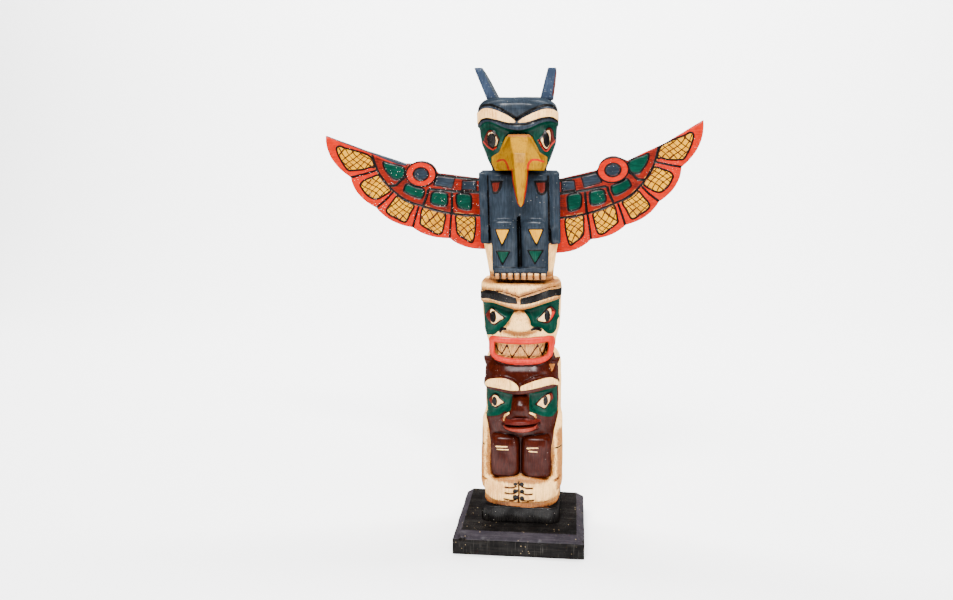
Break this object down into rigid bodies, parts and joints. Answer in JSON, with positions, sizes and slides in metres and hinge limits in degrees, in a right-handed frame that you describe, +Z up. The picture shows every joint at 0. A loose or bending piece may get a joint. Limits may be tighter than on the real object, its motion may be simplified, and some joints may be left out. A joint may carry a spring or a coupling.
{
  "type": "totem pole",
  "caption": "Carved and painted wooden totem pole with stacked mask figures, a long-beaked winged bird at the top and a bevelled base.",
  "frame": {"origin": "centre of the base's underside", "axes": "+Z up along the log, -Y towards the front that the faces look to, +X to the right seen from the front"},
  "size_m": [0.394, 0.136, 0.4963],
  "materials": {
    "base": "black paint, satin, rubbed through at the edges",
    "pole": "cream paint with a tan stain in the cuts, brown, blue-grey, green, black and red paint on the figures, satin",
    "beak": "yellow ochre paint with a red mouth line, satin",
    "left_horn": "blue-grey paint, satin",
    "right_horn": "blue-grey paint, satin",
    "left_wing": "red paint with ochre, green and blue-grey panels, satin",
    "right_wing": "red paint with ochre, green and blue-grey panels, satin"
  },
  "bodies": {
    "root": {"base": "base", "pole": "pole", "beak": "beak", "left_horn": "left_horn", "right_horn": "right_horn", "left_wing": "left_wing", "right_wing": "right_wing"}
  },
  "joints": []
}
